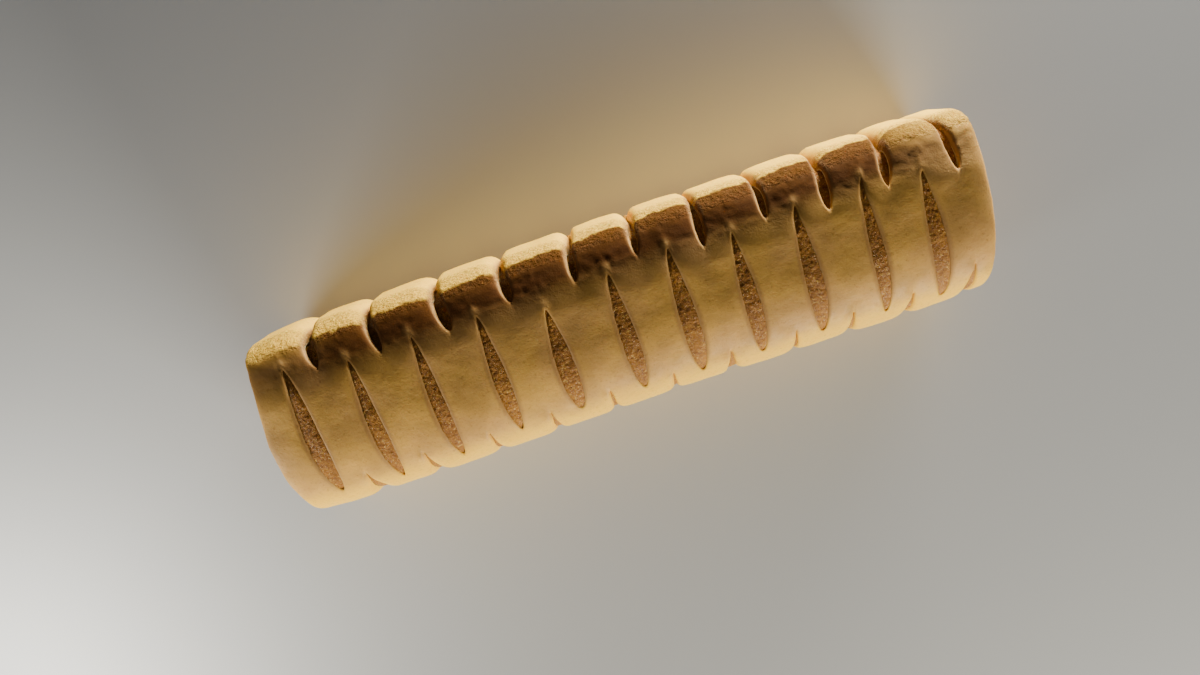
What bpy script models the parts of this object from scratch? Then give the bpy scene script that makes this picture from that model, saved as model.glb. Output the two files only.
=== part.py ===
"""A sausage roll: a slit pastry wrap round a sausage filling that runs through to both cut ends.

The roll lies along X on its flat base, with the origin at the centre of the base and +Z up.
A place on the wrap is given by its distance round the section, from the middle of the top
and towards -Y, and by an inset, its depth under the pastry's surface.
"""

import math
from typing import NamedTuple

import bmesh
import bpy

# Driving dimensions, in metres.
ROLL_LENGTH = 0.1555
ROLL_WIDTH = 0.0405
ROLL_HEIGHT = 0.033
WIDEST_HEIGHT = 0.014
PILLOW_RISE = 0.0006
WALL = 0.0026
PART_GAP = 0.0003
RIM_ROUNDING = 0.0022
FILLING_SETBACK = 0.0012
FILLING_END_ROUNDING = 0.0018
SEAM_OFFSET = 0.008
SEAM_WIDTH = 0.0009
SEAM_DEPTH = 0.0007

# How square each quarter of the section is: 2 is an ellipse, and more has a tighter corner.
SHOULDER_SQUARENESS = 4.9
ROUND_SQUARENESS = 2.13
BASE_SQUARENESS = 4.0
BASE_OVERRUN = 0.0005

# The slits, cut in three rows that are half a pitch apart.
SLIT_PITCH = 0.01357
SLIT_TIP_WIDTH = 0.0003
BLADE_PROUD = 0.0012
BLADE_STEPS = 7

# How finely the curved forms are divided.
WRAP_RINGS = 47
WRAP_SIDES = 36
FILLING_RINGS = 15
FILLING_SIDES = 26
SECTION_SAMPLES = 1440

PASTRY_COLOUR = (0.52, 0.33, 0.14)
FILLING_COLOUR = (0.20, 0.095, 0.045)


class SlitRow(NamedTuple):
    """One row of slits: where it starts along X, and how far round the wrap each slit runs.

    Each slit lies off its even place by its nudge, in tenths of a millimetre.
    """

    first_x: float
    nearer_tip: float
    farther_tip: float
    width: float
    widest_at: float
    nudges: tuple

    def places(self):
        """X of each slit of the row."""
        even = (self.first_x + step * SLIT_PITCH for step in range(len(self.nudges)))
        return [x + nudge * 1e-4 for x, nudge in zip(even, self.nudges)]


SLIT_ROWS = {
    "top": SlitRow(-0.0698, -0.0129, 0.0170, 0.0031, 0.55, (0, -4, 1, 5, 6, 13, 8, 6, 5, 11, 0)),
    "shoulder": SlitRow(
        -0.0630, -0.0410, -0.0108, 0.0024, 0.72, (0, -1, 12, 14, 14, 13, 14, 14, 13, 9, 6)
    ),
    "front": SlitRow(-0.0634, 0.0130, 0.0380, 0.0022, 0.40, (0, -2, 8, 11, 10, 14, 9, 18, 9, 6, 6)),
}


def signed_power(value, power):
    return math.copysign(abs(value) ** power, value)


def section_point(angle, inset):
    """Y and Z on the section, at an angle from +Y towards +Z and moved in by the inset."""
    across, up = math.cos(angle), math.sin(angle)
    if up < 0:
        squareness, reach = BASE_SQUARENESS, WIDEST_HEIGHT + BASE_OVERRUN
    elif across > 0:
        squareness, reach = SHOULDER_SQUARENESS, ROLL_HEIGHT - PILLOW_RISE - WIDEST_HEIGHT
    else:
        squareness, reach = ROUND_SQUARENESS, ROLL_HEIGHT - PILLOW_RISE - WIDEST_HEIGHT
    half_width = ROLL_WIDTH / 2 - PILLOW_RISE
    y = (half_width - inset) * signed_power(across, 2 / squareness)
    z = WIDEST_HEIGHT + (reach - inset) * signed_power(up, 2 / squareness)
    return y, z


def measure_section():
    """Angles round the section from the top, and the distance round the surface to each."""
    angles = [math.pi / 2 + 2 * math.pi * step / SECTION_SAMPLES for step in range(SECTION_SAMPLES + 1)]
    distances = [0.0]
    before = None
    for angle in angles:
        y, z = section_point(angle, 0.0)
        point = (y, max(z, 0.0))
        if before is not None:
            distances.append(distances[-1] + math.dist(before, point))
        before = point
    return angles, distances


SECTION_ANGLES, SECTION_DISTANCES = measure_section()
GIRTH = SECTION_DISTANCES[-1]


def angle_at(distance):
    """The section's angle at a distance round the wrap."""
    distance %= GIRTH
    low, high = 0, SECTION_SAMPLES
    while high - low > 1:
        middle = (low + high) // 2
        if SECTION_DISTANCES[middle] <= distance:
            low = middle
        else:
            high = middle
    span = SECTION_DISTANCES[high] - SECTION_DISTANCES[low]
    part = (distance - SECTION_DISTANCES[low]) / span
    return SECTION_ANGLES[low] + part * (SECTION_ANGLES[high] - SECTION_ANGLES[low])


def fade(value, start, end):
    """Runs smoothly from 0 at start to 1 at end."""
    part = min(max((value - start) / (end - start), 0.0), 1.0)
    return part * part * (3 - 2 * part)


def pillow(x, row):
    """The rise of the pastry between two slits of a row, or a slit and an end: 1 midway."""
    past_end = ROLL_LENGTH / 2 + RIM_ROUNDING
    lines = [-past_end, *row.places(), past_end]
    after = next(step for step, line in enumerate(lines) if line > x)
    part = (x - lines[after - 1]) / (lines[after] - lines[after - 1])
    return math.sin(math.pi * part) ** 0.8


def rise(x, distance):
    """How far the pastry puffs up between its slits, at a place on the wrap."""
    round_wrap = (distance + GIRTH / 2) % GIRTH - GIRTH / 2
    beside_top = fade(abs(round_wrap), 0.010, 0.018)
    off_base = 1 - fade(abs(round_wrap), 0.038, 0.044)
    side = "front" if round_wrap > 0 else "shoulder"
    top_rise = (1 - beside_top) * pillow(x, SLIT_ROWS["top"])
    side_rise = beside_top * off_base * pillow(x, SLIT_ROWS[side])
    return PILLOW_RISE * (top_rise + side_rise)


def wrap_point(x, distance, inset, puffed):
    """A point on or under the wrap, over its flat base, with its pillows if it is puffed."""
    moved_in = inset - (rise(x, distance) if puffed else 0.0)
    y, z = section_point(angle_at(distance), moved_in)
    return x, y, max(z, inset, 0.0)


def new_object(name, mesh, collection, helper=False):
    built = bpy.data.objects.new(name, mesh)
    collection.objects.link(built)
    if helper:
        built.hide_render = True
        built.display_type = "WIRE"
    return built


def wrapped_tube(name, collection, length, inset, rings, sides, puffed=False, helper=False):
    """A closed solid of the wrap's section, at an inset and of a length, centred along X."""
    shape = bmesh.new()
    bmesh.ops.create_cone(
        shape, cap_ends=True, segments=sides, radius1=1.0, radius2=1.0, depth=length
    )
    along = [edge for edge in shape.edges if abs(edge.verts[0].co.z - edge.verts[1].co.z) > length / 2]
    bmesh.ops.subdivide_edges(shape, edges=along, cuts=rings - 1)
    for vertex in shape.verts:
        turn = math.atan2(vertex.co.y, vertex.co.x) / (2 * math.pi)
        vertex.co = wrap_point(vertex.co.z, turn * GIRTH, inset, puffed)
    mesh = bpy.data.meshes.new(name)
    shape.to_mesh(mesh)
    shape.free()
    return new_object(name, mesh, collection, helper)


def slit_width(row, along):
    """The width of a slit at a part of its way from its nearer tip: a leaf, widest off centre."""
    warped = along ** (math.log(0.5) / math.log(row.widest_at))
    return max(SLIT_TIP_WIDTH, row.width * math.sin(math.pi * warped) ** 0.8)


def unit_bar(steps):
    """A cube one unit wide, divided into steps along Z."""
    shape = bmesh.new()
    bmesh.ops.create_cube(shape, size=1.0)
    upright = [edge for edge in shape.edges if abs(edge.verts[0].co.z - edge.verts[1].co.z) > 0.5]
    bmesh.ops.subdivide_edges(shape, edges=upright, cuts=steps - 1)
    mesh = bpy.data.meshes.new("unit_bar")
    shape.to_mesh(mesh)
    shape.free()
    return mesh


def add_blade(blades, bar, row, x):
    """Adds one slit's cutter: a bar that follows the section and has the leaf's outline."""
    already = len(blades.verts)
    blades.from_mesh(bar)
    blades.verts.ensure_lookup_table()
    for vertex in blades.verts[already:]:
        along = vertex.co.z + 0.5
        distance = row.nearer_tip + along * (row.farther_tip - row.nearer_tip)
        inset = -BLADE_PROUD + (0.5 - vertex.co.y) * (BLADE_PROUD + WALL + 2 * PART_GAP)
        beside = vertex.co.x * slit_width(row, along)
        vertex.co = wrap_point(x + beside, distance, inset, False)


def slit_blades(name, collection):
    """The cutters of every slit, as one mesh of separate bars."""
    bar = unit_bar(BLADE_STEPS)
    blades = bmesh.new()
    for row in SLIT_ROWS.values():
        for x in row.places():
            add_blade(blades, bar, row, x)
    mesh = bpy.data.meshes.new(name)
    blades.to_mesh(mesh)
    blades.free()
    return new_object(name, mesh, collection, helper=True)


def seam_bar(name, collection):
    """The cutter of the seam under the base, where the wrap's free edge lies."""
    shape = bmesh.new()
    bmesh.ops.create_cube(shape, size=1.0)
    for vertex in shape.verts:
        vertex.co.x *= ROLL_LENGTH + 4 * RIM_ROUNDING
        vertex.co.y = SEAM_OFFSET + vertex.co.y * SEAM_WIDTH
        vertex.co.z *= 2 * SEAM_DEPTH
    mesh = bpy.data.meshes.new(name)
    shape.to_mesh(mesh)
    shape.free()
    return new_object(name, mesh, collection, helper=True)


def round_ends(built, width, segments):
    bevel = built.modifiers.new("ends", "BEVEL")
    bevel.width = width
    bevel.segments = segments
    bevel.limit_method = "ANGLE"
    bevel.angle_limit = math.radians(70)


def cut_away(built, cutter):
    modifier = built.modifiers.new(cutter.name, "BOOLEAN")
    modifier.operation = "DIFFERENCE"
    modifier.solver = "EXACT"
    modifier.object = cutter


def finish(built, name, colour, roughness):
    """Gives a piece its own material and smooth shading with crisp edges."""
    material = bpy.data.materials.new(name)
    material.use_nodes = True
    shader = material.node_tree.nodes["Principled BSDF"]
    shader.inputs["Base Color"].default_value = (*colour, 1.0)
    shader.inputs["Roughness"].default_value = roughness
    shader.inputs["Metallic"].default_value = 0.0
    built.data.materials.append(material)
    built.data.shade_smooth()
    built.data.set_sharp_from_angle(angle=math.radians(50))


def make_pastry(parts, cutters):
    """The wrap: a tube that is open at both ends, slit in three rows and seamed underneath."""
    pastry = wrapped_tube("pastry", parts, ROLL_LENGTH, 0.0, WRAP_RINGS, WRAP_SIDES, puffed=True)
    hollow_length = ROLL_LENGTH + 2 * RIM_ROUNDING
    hollow = wrapped_tube(
        "hollow", cutters, hollow_length, WALL, FILLING_RINGS, FILLING_SIDES, helper=True
    )
    round_ends(pastry, RIM_ROUNDING, 3)
    cut_away(pastry, hollow)
    cut_away(pastry, slit_blades("slits", cutters))
    cut_away(pastry, seam_bar("seam", cutters))
    finish(pastry, "pastry", PASTRY_COLOUR, 0.55)


def make_filling(parts):
    """The sausage meat: it fills the wrap and shows at its slits and ends."""
    length = ROLL_LENGTH - 2 * FILLING_SETBACK
    inset = WALL + PART_GAP
    filling = wrapped_tube("filling", parts, length, inset, FILLING_RINGS, FILLING_SIDES)
    round_ends(filling, FILLING_END_ROUNDING, 2)
    finish(filling, "filling", FILLING_COLOUR, 0.65)


def main():
    for old in list(bpy.data.objects):
        bpy.data.objects.remove(old)
    parts = bpy.data.collections.new("sausage_roll")
    cutters = bpy.data.collections.new("cutters")
    for collection in (parts, cutters):
        bpy.context.scene.collection.children.link(collection)
    cutters.hide_render = True
    make_pastry(parts, cutters)
    make_filling(parts)


main()
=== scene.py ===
"""Looks of a long baked sausage roll: a slit pastry wrap round minced sausage meat.

The roll lies along X on its flat base. A place on the wrap is given by its distance round the
section, from the middle of the top and positive towards -Y, and by an inset, which is its depth
under the pastry's surface. Shapes are in millimetres until they are placed, and finishes, lamps
and the camera are in metres. A span is the start and the end of a smooth change, and a band is
two spans: one that it rises across and one that it falls across.
"""

import logging
import math
from dataclasses import dataclass
from enum import Enum

import bpy
import numpy as np
from mathutils import Matrix, Vector


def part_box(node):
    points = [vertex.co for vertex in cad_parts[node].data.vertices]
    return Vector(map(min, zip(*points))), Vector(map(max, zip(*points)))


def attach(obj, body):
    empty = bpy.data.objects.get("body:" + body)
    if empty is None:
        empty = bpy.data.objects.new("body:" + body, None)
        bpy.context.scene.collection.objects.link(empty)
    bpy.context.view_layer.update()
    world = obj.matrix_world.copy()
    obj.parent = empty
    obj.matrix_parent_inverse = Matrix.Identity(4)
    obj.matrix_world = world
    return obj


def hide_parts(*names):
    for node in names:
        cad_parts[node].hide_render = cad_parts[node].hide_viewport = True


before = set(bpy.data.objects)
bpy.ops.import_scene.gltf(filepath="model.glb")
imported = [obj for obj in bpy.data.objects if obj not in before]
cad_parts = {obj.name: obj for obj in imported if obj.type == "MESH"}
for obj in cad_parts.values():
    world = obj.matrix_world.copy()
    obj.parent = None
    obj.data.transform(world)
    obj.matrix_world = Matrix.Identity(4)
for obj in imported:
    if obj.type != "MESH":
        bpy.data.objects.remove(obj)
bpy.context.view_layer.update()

MM = 0.001
CLOSE = 0.001
ON_LINE = 1e-6
ROOM_FOR_RELIEF = 0.1
LOG = logging.getLogger("sausage_roll")

Colour = tuple[float, float, float, float]
Span = tuple[float, float]
Band = tuple[Span, Span]
Array = np.ndarray
Piece = bpy.types.Object
Socket = bpy.types.NodeSocket


class Row(Enum):
    """The three rows of slits."""

    TOP = "top"
    SHOULDER = "shoulder"
    FRONT = "front"


class MeshPart(Enum):
    """What can be selected in a mesh."""

    VERTICES = "vertices"
    EDGES = "edges"


class Pattern(Enum):
    """The patterns a relief can have."""

    CLOUDS = "CLOUDS"
    GRAINS = "VORONOI"


def smooth(value: Array, start: float, end: float) -> Array:
    """Runs smoothly from 0 at start to 1 at end."""
    part = np.clip((value - start) / (end - start), 0.0, 1.0)
    return part * part * (3 - 2 * part)


def within(value: Array, band: Band, height: float = 1.0) -> Array:
    """Rises smoothly to a height across a band's first span and falls across its second."""
    return height * smooth(value, *band[0]) * smooth(value, *band[1])


def quarter_round(part: Array) -> Array:
    """The drop of a quarter circle: 1 at its foot, at part 0, and 0 from part 1 on."""
    return 1 - np.sqrt(np.maximum(0.0, 1 - (1 - np.clip(part, 0.0, 1.0)) ** 2))


@dataclass(frozen=True)
class Waver:
    """A smooth uneven line: its height, the length of its bumps and its seed."""

    height: float
    pitch: float
    seed: int
    values: int = 4096

    def at(self, place: Array) -> Array:
        """How far the line strays to either side.

        Args:
            place: Places along the line.

        Returns:
            One number for each place.
        """
        values = np.random.default_rng(self.seed).uniform(-1, 1, self.values)
        cell = np.floor(place / self.pitch).astype(int)
        eased = smooth(place / self.pitch - cell, 0.0, 1.0)
        start, end = values[cell % self.values], values[(cell + 1) % self.values]
        return self.height * (start * (1 - eased) + end * eased)


@dataclass(frozen=True)
class TipSpot:
    """A soft round spot by the nearer tip of a slit, to the left of its line and up from it."""

    height: float
    width: float
    length: float
    left: float
    up: float

    def at(self, off: Array, past: Array) -> Array:
        """The spot's height at places off the slit's line and past its nearer tip."""
        away = np.hypot((off + self.left) / self.width, (past + self.up) / self.length)
        return self.height * np.exp(-(away**2))


@dataclass(frozen=True)
class SlitShape:
    """What the slits of one row have in common.

    A slit is widest at a part of the way from its nearer tip, and its tips are fuller as the leaf
    power is lower. The pastry beside it swells like a pillow and is stained. The meat in it lies
    at one inset in the middle and at another by the tips. A bump may stand at its nearer tip.
    """

    widest_at: float
    leaf_power: float
    pillow_depth: float
    pillow_width: float
    meat_inset: float
    tip_inset: float
    stain: float
    bump: TipSpot | None = None


# A painted highlight by the top slits' nearer tips, which are partly paler pastry too.
TIP_HIGHLIGHT = TipSpot(0.55, 0.8, 1.1, 0.0, 0.6)
TOP_BUMP = TipSpot(0.15, 0.8, 1.2, 0.0, 0.5)
FRONT_FLAP = TipSpot(0.35, 0.9, 1.6, 0.9, -1.2)
SHAPES = {
    Row.TOP: SlitShape(0.59, 0.58, 0.15, 3.2, 0.25, 0.12, 1.0, TOP_BUMP),
    Row.SHOULDER: SlitShape(0.86, 0.75, 0.5, 6.0, 3.2, 0.4, 1.0),
    Row.FRONT: SlitShape(0.60, 0.75, 0.25, 4.0, 0.9, 0.4, 0.45, FRONT_FLAP),
}


@dataclass(frozen=True)
class Slit:
    """One slit in the wrap.

    Its sizes are its line along the roll, the tips' distances round the wrap, the widest gap
    between its walls, how deep its lips turn down, how wide the left and right lips are, and how
    far the line leans along the roll on its way down the back.
    """

    row: Row
    x: float
    near: float
    far: float
    gap: float
    lip: float
    left: float
    right: float
    lean: float = 0.0

    @property
    def shape(self) -> SlitShape:
        """The shape of the slit's row."""
        return SHAPES[self.row]

    def along(self, distance: Array) -> Array:
        """Turns distances round the wrap into parts of the way from the nearer tip."""
        return (distance - self.near) / (self.far - self.near)

    def half_gap(self, distance: Array) -> Array:
        """Half the gap between the slit's walls.

        Args:
            distance: Distances round the wrap.

        Returns:
            One half gap for each, and 0 beyond the tips.
        """
        power = math.log(0.5) / math.log(self.shape.widest_at)
        warped = np.clip(self.along(distance), 0.0, 1.0) ** power
        return self.gap / 2 * np.sin(math.pi * warped) ** self.shape.leaf_power

    def opened(self, distance: Array, power: float) -> Array:
        """How open the slit is: 1 half way and 0 from its tips on, and fuller as power is lower."""
        return np.sin(math.pi * np.clip(self.along(distance), 0.0, 1.0)) ** power


def slit_row(row: Row, table: list[tuple[float, ...]]) -> list[Slit]:
    """Makes the slits of a row from its table."""
    return [Slit(row, *line) for line in table]


TOP_ROW = slit_row(Row.TOP, [
    (-69.8, -15.0, 15.6, 3.4, 0.33, 1.3, 0.8, -1.8),
    (-56.6, -12.6, 17.6, 3.0, 0.30, 1.3, 0.8, -2.8),
    (-42.6, -12.8, 17.4, 3.0, 0.28, 1.2, 0.8, -2.8),
    (-28.6, -12.4, 15.4, 3.1, 0.28, 1.1, 0.9, -2.0),
    (-14.9, -9.0, 15.8, 3.8, 0.33, 1.0, 0.9, -0.2),
    (-0.6, -12.0, 16.3, 3.3, 0.33, 0.9, 0.9, 1.3),
    (12.4, -12.8, 17.2, 3.7, 0.30, 1.0, 0.9, 1.5),
    (25.8, -11.6, 17.4, 3.3, 0.28, 1.0, 0.9, 1.7),
    (39.3, -13.0, 17.3, 3.5, 0.33, 0.9, 1.0, 2.4),
    (53.4, -13.8, 17.6, 2.8, 0.28, 0.9, 1.1, 3.6),
    (65.9, -11.4, 19.2, 3.3, 0.30, 0.9, 1.2, 3.0),
])
SHOULDER_ROW = slit_row(Row.SHOULDER, [
    (-63.0, -45.5, -12.6, 2.2, 3.0, 4.3, 2.6, -2.6),
    (-49.5, -44.5, -11.2, 1.7, 2.8, 4.2, 1.8, -3.0),
    (-34.7, -45.9, -10.6, 2.3, 3.2, 3.6, 2.0, -2.7),
    (-20.9, -45.1, -12.2, 1.9, 3.3, 3.4, 2.0, -1.5),
    (-7.3, -45.7, -11.8, 1.5, 3.4, 3.0, 1.8, 1.2),
    (6.2, -44.9, -13.2, 1.4, 3.4, 2.8, 2.2, 1.4),
    (19.8, -45.5, -10.3, 1.7, 1.9, 1.5, 1.8, 1.3),
    (33.4, -44.7, -11.6, 1.5, 2.1, 1.6, 2.4, 1.2),
    (46.2, -45.8, -9.1, 2.1, 3.4, 1.2, 3.6, 1.8),
    (58.8, -45.1, -9.9, 2.1, 3.0, 1.2, 3.2, 3.0),
    (73.2, -44.5, -8.4, 1.6, 2.2, 1.0, 2.4, -1.2),
])
FRONT_ROW = slit_row(Row.FRONT, [
    (-63.4, 12.4, 38.4, 1.10, 2.4, 3.2, 2.8),
    (-50.0, 12.0, 39.0, 1.00, 2.0, 2.4, 2.4),
    (-35.5, 12.8, 38.2, 0.90, 1.2, 2.2, 2.2),
    (-21.6, 13.0, 39.2, 1.00, 1.2, 2.4, 1.8),
    (-8.1, 13.0, 38.6, 0.90, 1.1, 2.0, 1.8),
    (5.9, 14.2, 38.0, 0.80, 1.0, 1.6, 1.6),
    (18.9, 13.6, 39.0, 1.10, 2.6, 1.6, 2.4),
    (33.4, 13.0, 38.4, 1.20, 0.7, 1.8, 1.4),
    (46.1, 13.6, 38.8, 1.40, 1.0, 2.0, 1.8),
    (59.3, 13.8, 38.2, 1.50, 1.1, 2.2, 1.6),
    (72.9, 11.4, 37.6, 1.40, 1.4, 2.6, 1.6),
])
ROWS = {Row.TOP: TOP_ROW, Row.SHOULDER: SHOULDER_ROW, Row.FRONT: FRONT_ROW}
SLITS = TOP_ROW + SHOULDER_ROW + FRONT_ROW


@dataclass(frozen=True)
class Section:
    """The roll's section: four quarters that are squarer or rounder.

    At stations along the roll, its back and its front are fuller by the sizes in the tables.
    """

    half_width: float
    height: float
    widest_height: float = 14.0
    shoulder_squareness: float = 8.0
    round_squareness: float = 2.25
    base_squareness: float = 4.0
    base_overrun: float = 0.5
    samples: int = 900
    least_angle: float = 1e-12
    stations: tuple[float, ...] = (-78, -56, -42, -28, -14, 0, 13, 27, 40, 53, 67, 78)
    fuller_back: tuple[float, ...] = (1.1, 1.1, 1.1, 0.9, 0.9, 1.0, 0.8, 0.6, 0.6, 0.6, 0.4, 0.3)
    fuller_front: tuple[float, ...] = (
        1.0, 1.0, 1.0, 0.9, 0.55, 0.3, 0.25, 0.7, 0.7, 0.95, 1.0, 1.0,
    )

    def at_angle(self, angle: Array, inset: Array) -> tuple[Array, Array]:
        """Y and Z at an angle from +Y towards +Z.

        Args:
            angle: The angles, in radians.
            inset: How far in from the surface each point lies.

        Returns:
            The points' Y and Z, which stay over the flat base.
        """
        across, up = np.cos(angle), np.sin(angle)
        above = np.where(across > 0, self.shoulder_squareness, self.round_squareness)
        power = 2 / np.where(up < 0, self.base_squareness, above)
        lower_reach = self.widest_height + self.base_overrun
        reach = np.where(up < 0, lower_reach, self.height - self.widest_height)
        y = (self.half_width - inset) * np.sign(across) * np.abs(across) ** power
        z = self.widest_height + (reach - inset) * np.sign(up) * np.abs(up) ** power
        return y, np.maximum(z, np.maximum(inset, 0.0))

    def measure(self) -> tuple[Array, Array]:
        """Measures the section's surface once round.

        The angles crowd towards the quarters' ends, where a square quarter runs on fastest.

        Returns:
            Angles that start at the top, and the distance round the surface to each.
        """
        quarter = math.pi / 2
        crowded = np.geomspace(self.least_angle, quarter / 2, self.samples)
        round_once = [[0.0]]
        for turn in range(4):
            round_once += [turn * quarter + crowded, (turn + 1) * quarter - crowded[::-1]]
        round_once.append([4 * quarter])
        angle = quarter + np.concatenate(round_once)
        y, z = self.at_angle(angle, np.zeros_like(angle))
        steps = np.hypot(np.diff(y), np.diff(z))
        return angle, np.concatenate([[0.0], np.cumsum(steps)])

    @property
    def girth(self) -> float:
        """The distance once round the surface."""
        return float(self.measure()[1][-1])

    def place(self, x: Array, distance: Array, inset: Array) -> Array:
        """Points on or under the wrap, in metres.

        Args:
            x: Places along the roll.
            distance: Distances round the wrap.
            inset: Depths under its surface.

        Returns:
            One row of X, Y and Z for each point.
        """
        angles, distances = self.measure()
        angle = np.interp(np.mod(distance, distances[-1]), distances, angles)
        y, z = self.at_angle(angle, inset)
        back = np.interp(x, self.stations, self.fuller_back)
        front = np.interp(x, self.stations, self.fuller_front)
        fuller = np.where(y > 0, back, front)
        return np.stack([x, y * (1 + fuller / self.half_width), z], axis=1) * MM


def clear() -> None:
    """Leaves edit mode and deselects everything."""
    if bpy.context.object and bpy.context.object.mode != "OBJECT":
        bpy.ops.object.mode_set(mode="OBJECT")
    bpy.ops.object.select_all(action="DESELECT")


def pick(*pieces: Piece) -> None:
    """Selects pieces, and makes the first one active.

    Args:
        *pieces: The pieces that operators will act on.
    """
    clear()
    for piece in pieces:
        piece.select_set(True)
    bpy.context.view_layer.objects.active = pieces[0]


def choose(piece: Piece, part: MeshPart, chosen: Array) -> None:
    """Enters edit mode with some of a piece's vertices or edges selected.

    Args:
        piece: The piece.
        part: What is selected.
        chosen: A flag for each vertex or edge.
    """
    pick(piece)
    bpy.ops.object.mode_set(mode="EDIT")
    by_edge = part is MeshPart.EDGES
    bpy.context.tool_settings.mesh_select_mode = (not by_edge, by_edge, False)
    bpy.ops.mesh.select_all(action="DESELECT")
    bpy.ops.object.mode_set(mode="OBJECT")
    getattr(piece.data, part.value).foreach_set("select", chosen)
    bpy.ops.object.mode_set(mode="EDIT")


def face_outward(piece: Piece) -> None:
    """Turns a closed piece's faces outward.

    Args:
        piece: The piece.
    """
    pick(piece)
    bpy.ops.object.mode_set(mode="EDIT")
    bpy.ops.mesh.select_all(action="SELECT")
    bpy.ops.mesh.normals_make_consistent(inside=False)
    bpy.ops.object.mode_set(mode="OBJECT")


def read(items: object, name: str, kind: type, width: int = 1) -> Array:
    """Reads a property of all of a mesh's vertices, edges or corners.

    Args:
        items: The vertices, edges or corners.
        name: The property's name.
        kind: The type of its numbers.
        width: How many numbers it has.

    Returns:
        One row of numbers for each.
    """
    found = np.empty(len(items) * width, kind)
    items.foreach_get(name, found)
    return found.reshape(-1, width)


def points_of(piece: Piece) -> Array:
    """A piece's vertices, one row each."""
    return read(piece.data.vertices, "co", np.float32, 3).astype(np.float64)


def move(piece: Piece, points: Array) -> None:
    """Puts a piece's vertices at new places."""
    piece.data.vertices.foreach_set("co", points.astype(np.float32).ravel())
    piece.data.update()


def paint(piece: Piece, name: str, values: Array) -> None:
    """Stores a number for each vertex, for the finish to read."""
    layer = piece.data.attributes.new(name, "FLOAT", "POINT")
    layer.data.foreach_set("value", values.astype(np.float32))


def group(piece: Piece, name: str, weights: Array, steps: int = 20) -> None:
    """Makes a vertex group.

    Args:
        piece: The piece.
        name: The group's name.
        weights: A weight for each vertex, from 0 to 1.
        steps: How many steps the weights are rounded to.
    """
    made = piece.vertex_groups.new(name=name)
    level = np.rint(np.clip(weights, 0, 1) * steps).astype(int)
    for step in range(1, steps + 1):
        chosen = np.nonzero(level == step)[0]
        if len(chosen):
            made.add(chosen.tolist(), step / steps, "REPLACE")


def apply(piece: Piece, kind: str, **settings: object) -> None:
    """Adds a modifier and applies it.

    Args:
        piece: The piece.
        kind: The modifier's type.
        **settings: Its settings.
    """
    pick(piece)
    modifier = piece.modifiers.new(kind.lower(), kind)
    for name, value in settings.items():
        setattr(modifier, name, value)
    bpy.ops.object.modifier_apply(modifier=modifier.name)


@dataclass(frozen=True)
class Relief:
    """A fine relief in a piece's surface, in metres, which a vertex group may limit."""

    name: str
    size: float
    strength: float
    detail: int = 1
    group: str = ""
    pattern: Pattern = Pattern.CLOUDS
    middle: float = 0.5

    def press(self, piece: Piece) -> None:
        """Presses the relief into a piece.

        Args:
            piece: The piece.
        """
        texture = bpy.data.textures.new(self.name, self.pattern.value)
        texture.noise_scale = self.size
        if self.pattern is Pattern.CLOUDS:
            texture.noise_depth = self.detail
        settings = {"strength": self.strength, "mid_level": self.middle, "vertex_group": self.group}
        apply(piece, "DISPLACE", texture=texture, **settings)


CRUST_RELIEF = (
    Relief("swells", 0.013, 0.0005, 1, "crust"),
    Relief("bumps", 0.0030, 0.00012, 2, "crust"),
    Relief("flakes", 0.0012, 0.0003, 1, "shoulder"),
)
MINCE_RELIEF = (
    Relief("lumps", 0.0024, 0.0002),
    Relief("grains", 0.0006, -0.00015, pattern=Pattern.GRAINS, middle=0.3),
    Relief("crumb", 0.0004, 0.00012),
)


@dataclass(frozen=True)
class SheetPoints:
    """Points of the sheet: where they are along the roll before any slit opens, which side of a
    cut they are on, with -1 for left, 1 for right and 0 for neither, and how far round the wrap.
    """

    x: Array
    side: Array
    distance: Array


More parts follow.
